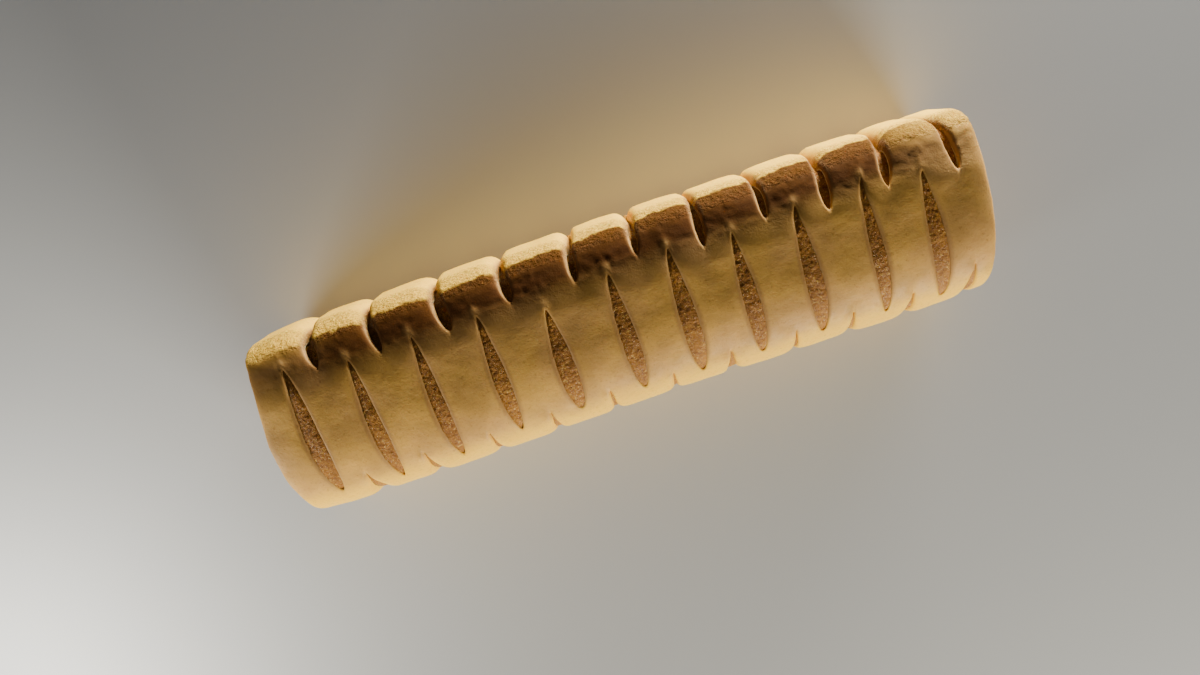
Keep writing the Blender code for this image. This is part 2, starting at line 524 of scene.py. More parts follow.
@dataclass
class PastryWrap:
    """The pastry: one sheet, slit in three rows and lapped under the base."""

    section: Section
    length: float
    name: str = "pastry_wrap"
    wall: float = 2.6
    least_wall: float = 0.4
    overhang: float = 0.5

    # The sheet's columns, rows and layers, and how far the sides of a cut are eased apart.
    columns_between_slits: int = 12
    column_crowding: float = 0.6
    fine_row: float = 0.55
    coarse_row: float = 1.1
    fine_reach: float = 44.0
    layers: int = 5
    eased_apart: float = 0.25
    least_lean: float = 0.3
    inside_kept: float = 0.58
    inside_weight: float = 1000.0

    # The slits' lines, which lean on their way down the back.
    back_to_front: Span = (-8.0, 8.0)
    lean_from: float = 10.0
    lean_run: float = 22.0

    # The slits' lips, which grow from their tips on and run into grooves down the back.
    reach_of_slit: float = 6.2
    spare_reach: float = 1.5
    reach_past_tips: Span = (8.0, 6.0)
    past_tip_share: float = 0.7
    lip_power: float = 0.4
    tip_dimple: float = 0.22
    tip_dimple_reach: float = 1.6
    groove: Span = (-7.0, -1.0)
    lip_waver: float = 0.22
    lip_pitch: float = 5.0
    lip_seed: int = 900
    far_lip: float = 40.0
    lip_growth: float = 8.0
    tip_width: float = 0.3
    least_sag: float = 0.3
    down_back: Span = (-17.5, -26.0)
    upper_left_share: float = 0.65
    upper_right: float = 0.8
    upper_depth: float = 1.1
    stain_reach: float = 2.4
    least_stain: float = 0.02
    # Painted highlight on the shoulder slits' left lips.
    pale_reach: float = 0.7
    pale_band: Band = ((1.0, 0.9), (0.0, 0.1))
    pale_layers: int = 2

    # The slope from the top to its shoulder.
    shoulder_drop: float = 1.1
    slope_band: Band = ((-6.5, -17.5), (-29.0, -18.0))

    # The lapped seam under the base.
    seam: float = 69.8
    tuck: float = 3.0
    lap_depth: float = 1.25
    lap_gap: float = 0.15
    lap_under: Span = (0.4, 5.0)
    lap_over: Span = (4.6, 3.4)
    lap_round_depth: float = 0.7
    lap_round_width: float = 0.9

    # The cut ends: their rounding, which is wider on top and at the left, and their ragged run.
    end_round_width: float = 1.3
    end_round_depth: float = 0.8
    top_round_width: float = 2.4
    top_round_depth: float = 0.2
    left_round_width: float = 3.4
    left_round_depth: float = 0.5
    top_middle: float = 1.0
    top_edge: Span = (12.0, 21.0)
    draw_in: float = 0.5
    draw_in_reach: float = 8.0
    end_places: tuple[float, ...] = (-46.0, -18.0, -8.0, 0.0, 10.0, 22.0, 40.0, 50.0)
    left_end_run: tuple[float, ...] = (-0.2, -0.2, 0.7, 1.4, 1.3, 0.7, 0.1, -0.8)
    right_end_run: tuple[float, ...] = (0.8, 0.7, 0.8, 0.4, -0.6, -0.8, -0.3, 0.6)
    end_reach: float = 6.0
    end_waver: Waver = Waver(0.3, 9.0, 5)
    leaf_waver: Waver = Waver(0.3, 1.7, 11)
    leaf_shift: float = 31.0

    # Where the crust is less bumpy, and where the flaky band runs.
    calm_base: Span = (42.0, 47.0)
    calm_top: float = 0.65
    calm_band: Band = ((-21.0, -18.0), (-5.0, -10.0))
    calm_by_slit: float = 0.75
    flaky_band: Band = ((-27.0, -21.0), (-10.0, -14.0))
    flaky_by_slit: float = 0.5

    def row_places(self) -> Array:
        """Where the sheet's rows lie.

        Returns:
            Distances round the wrap, from the sheet's over-lapping edge down.
        """
        first = self.seam - self.section.girth - self.tuck
        fine = np.arange(-self.fine_reach, self.fine_reach + self.fine_row, self.fine_row)
        under = np.arange(fine[0], first, -self.coarse_row)[1:][::-1]
        over = np.arange(fine[-1], self.seam, self.coarse_row)[1:]
        return np.concatenate([[first], under, fine, over, [self.seam]])[::-1]

    def line_places(self, distance: Array) -> Array:
        """Where the two ends and every slit's line lie.

        Args:
            distance: Distances round the wrap.

        Returns:
            A row of places along the roll for each distance.
        """
        blend = smooth(distance, *self.back_to_front)
        half = self.length / 2 + self.overhang
        lines = [np.full_like(distance, -half)]
        leaning = np.clip((-distance - self.lean_from) / self.lean_run, 0.0, 1.0)
        for top, shoulder, front in zip(TOP_ROW, SHOULDER_ROW, FRONT_ROW):
            lines.append(top.x + top.lean * leaning)
            straight = shoulder.x + (front.x - shoulder.x) * blend
            lines.append(straight + shoulder.lean * leaning)
        lines.append(np.full_like(distance, half))
        return np.stack(lines, axis=1)

    def column_x(self, column: Array, distance: Array) -> Array:
        """Where the sheet's columns lie before the slits open, crowded towards their lines.

        Args:
            column: The columns' numbers.
            distance: Distances round the wrap.

        Returns:
            A place along the roll for each.
        """
        lines = self.line_places(distance)
        span = np.minimum(column // self.columns_between_slits, lines.shape[1] - 2).astype(int)
        part = column / self.columns_between_slits - span
        part = part - self.column_crowding * np.sin(2 * math.pi * part) / (2 * math.pi)
        place = np.arange(len(column))
        start, end = lines[place, span], lines[place, span + 1]
        return start + (end - start) * part

    def slit_column(self, slit: Slit) -> int:
        """The column of the sheet that a slit lies on."""
        line = 2 * ROWS[slit.row].index(slit) + (1 if slit.row is Row.TOP else 2)
        return line * self.columns_between_slits

    def slit_line(self, slit: Slit, distance: Array) -> Array:
        """X of a slit's line before it opens, carried on past its tips."""
        return self.line_places(distance)[:, self.slit_column(slit) // self.columns_between_slits]

    def lay_sheet(self) -> Piece:
        """Lays out the flat sheet.

        Returns:
            The sheet, whose X counts its columns and whose Y counts its rows.
        """
        columns = (2 * len(TOP_ROW) + 1) * self.columns_between_slits
        rows = len(self.row_places()) - 1
        clear()
        bpy.ops.mesh.primitive_grid_add(x_subdivisions=columns, y_subdivisions=rows, size=2)
        sheet = bpy.context.object
        sheet.name = sheet.data.name = self.name
        spread = (points_of(sheet) + 1) / 2
        move(sheet, np.rint(spread * [columns, rows, 0]))
        return sheet

    def cut_slits(self, sheet: Piece) -> None:
        """Splits the sheet along each slit.

        Args:
            sheet: The flat sheet.
        """
        points, ends = points_of(sheet), read(sheet.data.edges, "vertices", np.int32, 2)
        chosen = np.zeros(len(ends), bool)
        column, place = points[:, 0], self.row_places()[points[:, 1].astype(int)]
        for slit in SLITS:
            on_line = column == self.slit_column(slit)
            on_line &= (place > slit.near) & (place < slit.far)
            chosen |= on_line[ends[:, 0]] & on_line[ends[:, 1]]
        choose(sheet, MeshPart.EDGES, chosen)
        bpy.ops.mesh.edge_split(type="EDGE")
        bpy.ops.object.mode_set(mode="OBJECT")

    def ease_apart(self, sheet: Piece) -> None:
        """Moves the two sides of each cut a part of a column apart.

        Args:
            sheet: The flat sheet with its cuts.
        """
        points = points_of(sheet)
        corner = read(sheet.data.loops, "vertex_index", np.int32)[:, 0]
        face_x = points[corner, 0].reshape(-1, 4).mean(axis=1).repeat(4)
        total = np.bincount(corner, weights=face_x, minlength=len(points))
        lean = total / np.bincount(corner, minlength=len(points)) - points[:, 0]
        inner = (points[:, 0] > 0) & (points[:, 0] < points[:, 0].max())
        cut = inner & (np.abs(lean) > self.least_lean)
        points[:, 0] += np.where(cut, np.sign(lean) * self.eased_apart, 0.0)
        move(sheet, points)

    def give_thickness(self, sheet: Piece) -> None:
        """Extrudes the sheet down, layer by layer, into a closed slab.

        Args:
            sheet: The flat sheet.
        """
        pick(sheet)
        bpy.ops.object.mode_set(mode="EDIT")
        bpy.ops.mesh.select_all(action="SELECT")
        for _ in range(self.layers):
            bpy.ops.mesh.extrude_region_move(TRANSFORM_OT_translate={"value": (0, 0, -1)})
        face_outward(sheet)

    def lip_insets(
        self, slit: Slit, direction: Array, distance: Array, from_edge: Array
    ) -> tuple[Array, Array]:
        """How the lips of one slit turn down and the pastry beside it sags.

        Args:
            slit: The slit.
            direction: -1 to the left of the slit and 1 to its right.
            distance: Distances round the wrap.
            from_edge: How far along the roll each point is from the slit's edge.

        Returns:
            How far in each point goes, and how near it is to the slit's edge, from 0 to 1.
        """
        shape = slit.shape
        past_tip = np.maximum(np.maximum(slit.near - distance, distance - slit.far), 0.0)
        away = lip_away = np.hypot(from_edge, past_tip * self.past_tip_share)
        full = slit.opened(distance, self.lip_power)
        dimple = self.tip_dimple * np.exp(-((past_tip / self.tip_dimple_reach) ** 2))
        turned_down = np.maximum(full, dimple)
        from_tip = np.minimum(distance - slit.near, slit.far - distance)
        growth = smooth(from_tip, 0.0, self.lip_growth) * (1 - self.tip_width) + self.tip_width
        side_width = np.where(direction < 0, slit.left, slit.right)
        width, depth = side_width * growth, np.full_like(distance, slit.lip)
        if slit.row is Row.SHOULDER:
            lower = distance < (slit.near + slit.far) / 2
            groove_start, groove_end = self.groove
            groove = smooth(distance, slit.near + groove_start, slit.near + groove_end)
            turned_down = np.where(lower, groove, turned_down)
            lip_away = np.where(lower, from_edge, away)
            down = smooth(distance, *self.down_back)
            upper_left = self.upper_left_share * slit.left
            upper_width = np.where(direction < 0, upper_left, self.upper_right) * growth
            width = upper_width + (side_width - upper_width) * down
            depth = self.upper_depth + (slit.lip - self.upper_depth) * down
        waver = Waver(self.lip_waver, self.lip_pitch, int(slit.x * 10) + self.lip_seed)
        uneven = 1 + waver.at(distance + self.far_lip * direction)
        lip = depth * uneven * quarter_round(lip_away / width) * turned_down
        swell = (1 - np.clip(away / shape.pillow_width, 0.0, 1.0)) ** 2
        sag = shape.pillow_depth * swell * np.maximum(full, self.least_sag)
        return lip + sag, (1 - smooth(away, 0.0, self.stain_reach)) * full

    def open_slit(self, slit: Slit, at: SheetPoints) -> tuple[Array, Array, Array]:
        """Opens one slit in the sheet round it.

        Args:
            slit: The slit.
            at: The points round it.

        Returns:
            How far each point moves along the roll, how far in it goes, and how near it is to the
            slit's edge, from 0 to 1.
        """
        off = at.x - self.slit_line(slit, at.distance)
        gap = slit.half_gap(at.distance)
        direction = np.where(np.abs(off) < ON_LINE, at.side, np.sign(off))
        push = direction * gap * (1 - smooth(np.abs(off), 0.0, self.reach_of_slit))
        from_edge = np.maximum(np.abs(off + push) - gap, 0.0)
        inset, nearness = self.lip_insets(slit, direction, at.distance, from_edge)
        if slit.shape.bump:
            inset = inset - slit.shape.bump.at(off, at.distance - slit.near)
        return push, inset, nearness

    def open_slits(self, at: SheetPoints) -> tuple[Array, Array, Array]:
        """Opens all the slits in the sheet.

        Args:
            at: The points of the sheet.

        Returns:
            The new places along the roll, the insets round the slits, and how stained each point
            is, from 0 to 1.
        """
        moved, inset, stained = at.x.copy(), np.zeros_like(at.x), np.zeros_like(at.x)
        past_near, past_far = self.reach_past_tips
        for slit in SLITS:
            reach = self.reach_of_slit + self.spare_reach + abs(slit.lean)
            close = np.abs(at.x - slit.x) < reach
            close &= (at.distance > slit.near - past_near) & (at.distance < slit.far + past_far)
            close = np.nonzero(close)[0]
            nearby = SheetPoints(at.x[close], at.side[close], at.distance[close])
            push, down, near = self.open_slit(slit, nearby)
            moved[close] += push
            deeper = np.abs(down) > np.abs(inset[close])
            inset[close] = np.where(deeper, down, inset[close])
            stained[close] = np.maximum(stained[close], near * slit.shape.stain)
        return moved, inset, stained

    def slope(self, distance: Array) -> Array:
        """How far the top slopes down towards its shoulder, at distances round the wrap."""
        return within(distance, self.slope_band, self.shoulder_drop)

    def lip_highlights(self, at: SheetPoints) -> Array:
        """How much painted highlight lies on the shoulder slits' left lips and on the top slits'
        nearer tips, which are partly paler pastry too.

        Args:
            at: The points of the sheet.

        Returns:
            A number from 0 to 1 for each point.
        """
        pale = np.zeros_like(at.x)
        for slit in SHOULDER_ROW:
            off = at.x - self.slit_line(slit, at.distance)
            on_left = np.where(np.abs(off) < ON_LINE, at.side < 0, off < 0)
            close = 1 - smooth(np.abs(off), 0.0, self.pale_reach)
            share = within(slit.along(at.distance), self.pale_band)
            pale = np.maximum(pale, on_left * close * share)
        for slit in TOP_ROW:
            off = at.x - self.slit_line(slit, at.distance)
            pale = np.maximum(pale, TIP_HIGHLIGHT.at(off, at.distance - slit.near))
        return pale

    def end_inset(self, x: Array, distance: Array) -> Array:
        """How the wrap draws in and rounds off at the two cut ends.

        Args:
            x: Places along the roll.
            distance: Distances round the wrap.

        Returns:
            An inset for each point.
        """
        from_end = self.length / 2 + self.overhang - np.abs(x)
        on_top = 1 - smooth(np.abs(distance - self.top_middle), *self.top_edge)
        wider = self.top_round_width + self.left_round_width * (x < 0)
        deeper = self.top_round_depth + self.left_round_depth * (x < 0)
        width = self.end_round_width + wider * on_top
        rounding = (self.end_round_depth + deeper * on_top) * quarter_round(from_end / width)
        return rounding + self.draw_in * (1 - smooth(from_end, 0.0, self.draw_in_reach))

    def lap_insets(self, distance: Array) -> tuple[Array, Array]:
        """The lapped seam under the base.

        Args:
            distance: Distances round the wrap.

        Returns:
            The extra inset of the outer face, and what the inner face's inset loses.
        """
        under_start, under_end = self.lap_under
        over_start, over_end = self.lap_over
        under_edge = self.seam - self.section.girth
        under = smooth(distance, under_edge + under_start, under_edge + under_end)
        over = smooth(distance, self.seam - over_start, self.seam - over_end)
        rounding = quarter_round((self.seam - distance) / self.lap_round_width)
        outer = self.lap_depth * (1 - under) + self.lap_round_depth * rounding
        return outer, (self.wall - self.lap_depth + self.lap_gap) * over

    def wrap(self, sheet: Piece) -> None:
        """Opens the slits, wraps the slab round the filling and paints what the finish needs.

        Args:
            sheet: The slab, whose X counts its columns, Y its rows and Z its layers.
        """
        points = points_of(sheet)
        column, layer = np.rint(points[:, 0]), np.rint(-points[:, 2])
        side = np.sign(np.rint((points[:, 0] - column) / self.eased_apart * 2))
        distance = self.row_places()[np.rint(points[:, 1]).astype(int)]
        depth = -points[:, 2] / self.layers
        x = self.column_x(column, distance)
        at = SheetPoints(x, side, distance)
        moved, lips, stained = self.open_slits(at)
        tucked, over = self.lap_insets(distance)
        outer = lips + tucked + self.end_inset(moved, distance) + self.slope(distance)
        inner = np.maximum(self.wall - over, outer + self.least_wall)
        inset = outer + (inner - outer) * depth
        half = self.length / 2 + self.overhang
        at_end = half - np.abs(x) < ON_LINE
        leaf = self.leaf_waver.at(distance - self.leaf_shift * layer) * (layer > 0)
        left = np.interp(distance, self.end_places, self.left_end_run)
        right = np.interp(distance, self.end_places, self.right_end_run)
        run = self.end_waver.at(distance) + np.where(x < 0, left, right) - at_end * np.abs(leaf)
        end_share = 1 - smooth(half - np.abs(moved), 0.0, self.end_reach)
        moved = moved + np.sign(x) * run * end_share
        move(sheet, self.section.place(moved, distance, inset))

        paint(sheet, "round_wrap", distance)
        paint(sheet, "depth", depth)
        paint(sheet, "by_slit", stained * (layer < self.layers))
        # Painted highlight on the slits' lips and tips.
        paint(sheet, "lip_highlight", self.lip_highlights(at) * (layer <= self.pale_layers))
        calm = 1 - smooth(np.abs(distance), *self.calm_base)
        calm *= 1 - within(distance, self.calm_band, self.calm_top)
        flaky = within(distance, self.flaky_band)
        skin = layer == 0
        group(sheet, "crust", skin * calm * (1 - self.calm_by_slit * stained))
        group(sheet, "shoulder", skin * flaky * (1 - self.flaky_by_slit * stained))
        hidden = (layer == self.layers) & (stained < self.least_stain) & ~at_end
        group(sheet, "inside", hidden.astype(float), steps=1)

    def build(self) -> Piece:
        """Models the wrap.

        Returns:
            The wrap, whose mesh is thinned out where it lies against the filling.
        """
        sheet = self.lay_sheet()
        self.cut_slits(sheet)
        self.ease_apart(sheet)
        self.give_thickness(sheet)
        self.wrap(sheet)
        for relief in CRUST_RELIEF:
            relief.press(sheet)
        thinned = {"vertex_group": "inside", "vertex_group_factor": self.inside_weight}
        apply(sheet, "DECIMATE", ratio=self.inside_kept, **thinned)
        sheet.data.shade_smooth()
        return sheet


@dataclass
class SausageMeat:
    """The filling: a core through the roll, and the meat that swells into each slit."""

    section: Section
    length: float
    wrap: PastryWrap
    core_name: str = "sausage_core"
    slits_name: str = "meat_in_slits"

    # The core, which sinks a little under the deep slits of the back shoulder.
    core_inset: float = 2.6
    end_setback: float = 1.1
    sides: int = 200
    rings: int = 34
    stations: int = 150
    middle_above: float = 1.2
    dome_height: float = 1.0
    dome_width: float = 0.16
    sunk: float = 1.2
    sunk_at: float = -28.0
    sunk_reach: Span = (21.0, 16.0)
    sunk_from_end: Span = (2.0, 8.0)

    # The mounds in the slits: their rings and sides, and their shape.
    fine_mound: tuple[int, int] = (130, 36)
    plain_mound: tuple[int, int] = (64, 16)
    mound_base: float = 3.4
    mound_overrun: float = 2.0
    mound_squareness: float = 12.0
    mound_crowding: float = 0.5
    mound_power: float = 0.3
    side_power: float = 0.8
    under_lips: float = 0.7
    rim: Span = (1.1, 0.5)

    def core(self) -> Piece:
        """Models the core.

        Returns:
            A closed bar of the section's shape, with domed ends.
        """
        clear()
        half = self.length / 2 - self.end_setback
        bpy.ops.mesh.primitive_cylinder_add(
            vertices=self.sides, radius=1.0, depth=2.0, end_fill_type="NOTHING"
        )
        core = bpy.context.object
        core.name = core.data.name = self.core_name
        self.cut_stations(core)
        self.fill_ends(core)
        points = points_of(core)
        radius = np.hypot(points[:, 0], points[:, 1])
        turn = np.arctan2(points[:, 1], points[:, 0]) / (2 * math.pi)
        x, distance = points[:, 2] * half, turn * self.section.girth
        start, end = self.sunk_from_end
        deeper = smooth(np.abs(x), half - start, half - end)
        deeper *= smooth(np.abs(distance - self.sunk_at), *self.sunk_reach)
        outer = self.section.place(x, distance, self.core_inset + self.sunk * deeper)
        middle = np.array([0.0, 0.0, (self.section.widest_height + self.middle_above) * MM])
        spread = middle + (outer - middle) * radius[:, None]
        dome = self.dome_height * MM * quarter_round((1 - radius) / self.dome_width)
        on_end = np.abs(points[:, 2]) > 1 - CLOSE
        spread[:, 0] = outer[:, 0] - np.sign(points[:, 2]) * dome * on_end
        move(core, spread)
        return core

    def cut_stations(self, core: Piece) -> None:
        """Subdivides the open tube's long edges, for the minced relief.

        Args:
            core: The tube.
        """
        z = points_of(core)[read(core.data.edges, "vertices", np.int32, 2), 2]
        choose(core, MeshPart.EDGES, np.abs(z[:, 0] - z[:, 1]) > 1.0)
        bpy.ops.mesh.subdivide(number_cuts=self.stations)
        bpy.ops.object.mode_set(mode="OBJECT")

    def fill_ends(self, core: Piece) -> None:
        """Fills each end of the open tube with rings that shrink to a pole.

        Args:
            core: The tube.
        """
        for end in (-1.0, 1.0):
            points = points_of(core)
            radius = np.hypot(points[:, 0], points[:, 1])
            at_end = (np.abs(points[:, 2] - end) < CLOSE) & (radius > 1 - CLOSE)
            choose(core, MeshPart.VERTICES, at_end)
            for left in range(self.rings, 1, -1):
                share = (left - 1) / left
                bpy.ops.mesh.extrude_edges_move()
                bpy.ops.transform.resize(value=(share, share, 1.0), center_override=(0, 0, end))
            bpy.ops.mesh.edge_face_add()
            bpy.ops.mesh.poke()
            bpy.ops.object.mode_set(mode="OBJECT")
        face_outward(core)

    def mound(self, slit: Slit) -> Piece:
        """Models the meat that swells into one slit.

        Args:
            slit: The slit.

        Returns:
            A ball drawn out to the slit's leaf.
        """
        clear()
        rings, sides = self.fine_mound if slit.row is Row.TOP else self.plain_mound
        bpy.ops.mesh.primitive_uv_sphere_add(segments=sides, ring_count=rings, radius=1.0)
        mound = bpy.context.object
        points = points_of(mound)
        part = np.arccos(np.clip(points[:, 2], -1, 1)) / math.pi
        turn = np.arctan2(points[:, 1], points[:, 0])
        turn = turn + self.mound_crowding * np.cos(turn)
        across, up = np.cos(turn), np.sin(turn)
        squarer = np.maximum(np.abs(across), np.abs(up)) ** self.side_power
        overrun = self.mound_overrun
        distance = slit.near - overrun + (slit.far - slit.near + 2 * overrun) * part
        full = np.sqrt(np.maximum(0.0, 1 - np.abs(2 * part - 1) ** self.mound_squareness))
        half = (slit.half_gap(distance) + self.under_lips) * full
        opened = slit.opened(distance, self.mound_power)
        at_tip, in_middle = slit.shape.tip_inset, slit.shape.meat_inset
        tall = (self.mound_base - at_tip + (at_tip - in_middle) * opened) * full
        x = self.wrap.slit_line(slit, distance) + half * across / squarer
        inset = self.mound_base - tall * up / squarer + self.wrap.slope(distance)
        move(mound, self.section.place(x, distance, inset))
        rim_start, rim_end = self.rim
        rim = smooth(np.abs(half * across), half - rim_start, half - rim_end)
        paint(mound, "rim", rim)
        return mound

    def in_slits(self) -> Piece:
        """Models the meat in every slit.

        Returns:
            All the mounds as one piece.
        """
        pick(*[self.mound(slit) for slit in SLITS])
        bpy.ops.object.join()
        piece = bpy.context.object
        piece.name = piece.data.name = self.slits_name
        face_outward(piece)
        return piece

    def build(self) -> list[Piece]:
        """Models the filling.

        Returns:
            The core and the meat in the slits, both with a minced surface.
        """
        pieces = [self.core(), self.in_slits()]
        for piece in pieces:
            for relief in MINCE_RELIEF:
                relief.press(piece)
            piece.data.shade_smooth()
        return pieces


@dataclass(frozen=True)
class Grain:
    """Noise in a finish, whose features are about one over scale metres wide."""

    scale: float
    detail: float = 3.0
    roughness: float = 0.5


@dataclass(frozen=True)
class Patches:
    """Patches of noise between two levels, and how strongly they colour a finish."""

    grain: Grain
    levels: Span
    share: float


@dataclass(frozen=True)
class Dents:
    """Fine dents of noise: their depth in metres and how strongly they shade."""

    grain: Grain
    depth: float
    strength: float


class NodeSketch:
    """A material's nodes, added one at a time."""

    def __init__(self, name: str) -> None:
        """Starts a material with a Principled shader.

        Args:
            name: The material's name.
        """
        self.material = bpy.data.materials.new(name)
        self.material.use_nodes = True
        self.tree = self.material.node_tree
        self.shader = self.tree.nodes["Principled BSDF"]
        self.place = self.add("ShaderNodeTexCoord").outputs["Object"]

    def feed(self, socket: Socket, value: object) -> None:
        """Links an input socket to another socket, or sets its value.

        Args:
            socket: The input socket.
            value: The socket to link, or the value.
        """
        if isinstance(value, Socket):
            self.tree.links.new(value, socket)
        else:
            socket.default_value = value

    def add(self, kind: str, inputs: dict | None = None, **settings: object) -> bpy.types.Node:
        """Adds a node.

        Args:
            kind: The node's type.
            inputs: A socket or a value for each input, by its name or number.
            **settings: The node's own settings.

        Returns:
            The node.
        """
        node = self.tree.nodes.new(kind)
        for name, value in settings.items():
            setattr(node, name, value)
        for name, value in (inputs or {}).items():
            self.feed(node.inputs[name], value)
        return node

    def noise(self, grain: Grain) -> Socket:
        """Noise with this grain, in the piece's own coordinates."""
        fields = {"Scale": grain.scale, "Detail": grain.detail, "Roughness": grain.roughness}
        return self.add("ShaderNodeTexNoise", {"Vector": self.place} | fields).outputs["Fac"]

    def painted(self, name: str) -> Socket:
        """A number painted on the piece's vertices."""
        return self.add("ShaderNodeAttribute", attribute_name=name).outputs["Fac"]

    def span(self, value: Socket, levels: Span, to: Span = (0.0, 1.0)) -> Socket:
        """Maps a range of a value smoothly to another range.

        Args:
            value: The value.
            levels: The range it is mapped from.
            to: The range it is mapped to.

        Returns:
            The mapped value.
        """
        ends = {"From Min": levels[0], "From Max": levels[1], "To Min": to[0], "To Max": to[1]}
        node = self.add(
            "ShaderNodeMapRange", {"Value": value} | ends, interpolation_type="SMOOTHSTEP"
        )
        return node.outputs["Result"]

    def math(self, operation: str, first: object, second: object = 0.0) -> Socket:
        """Arithmetic on two sockets or values."""
        return self.add("ShaderNodeMath", {0: first, 1: second}, operation=operation).outputs[0]

    def times(self, first: object, second: object) -> Socket:
        """The product of two sockets or values."""
        return self.math("MULTIPLY", first, second)

    def plus(self, first: object, second: object) -> Socket:
        """The sum of two sockets or values."""
        return self.math("ADD", first, second)

    def centred(self, grain: Grain) -> Socket:
        """Noise that strays about evenly to either side of 0."""
        return self.math("SUBTRACT", self.noise(grain), 0.5)

    def blend(self, amount: object, first: object, second: object) -> Socket:
        """Blends two colours, each a socket or a colour."""
        inputs = {0: amount, 6: first, 7: second}
        return self.add("ShaderNodeMix", inputs, data_type="RGBA").outputs[2]

    def patch(self, patches: Patches, under: object, colour: Colour) -> Socket:
        """Lays patches of one colour over another."""
        mask = self.span(self.noise(patches.grain), patches.levels)
        return self.blend(self.times(mask, patches.share), under, colour)

    def bump(self, height: Socket, depth: float, strength: float) -> None:
        """Adds fine relief over what the shader already has.

        Args:
            height: The relief's height, from 0 to 1.
            depth: What a height of 1 stands for, in metres.
            strength: How strongly it shades.
        """
        inputs = {"Height": height, "Distance": depth, "Strength": strength}
        node = self.add("ShaderNodeBump", inputs)
        normal = self.shader.inputs["Normal"]
        if normal.is_linked:
            self.feed(node.inputs["Normal"], normal.links[0].from_socket)
        self.feed(normal, node.outputs["Normal"])

    def dent(self, dents: Dents) -> None:
        """Adds dents over what the shader already has."""
        self.bump(self.noise(dents.grain), dents.depth, dents.strength)

    def finish(self, **inputs: object) -> bpy.types.Material:
        """Feeds the shader's inputs.

        Args:
            **inputs: A socket or a value for each, with _ for the spaces in its name.

        Returns:
            The finished material.
        """
        for name, value in inputs.items():
            self.feed(self.shader.inputs[name.replace("_", " ")], value)
        return self.material


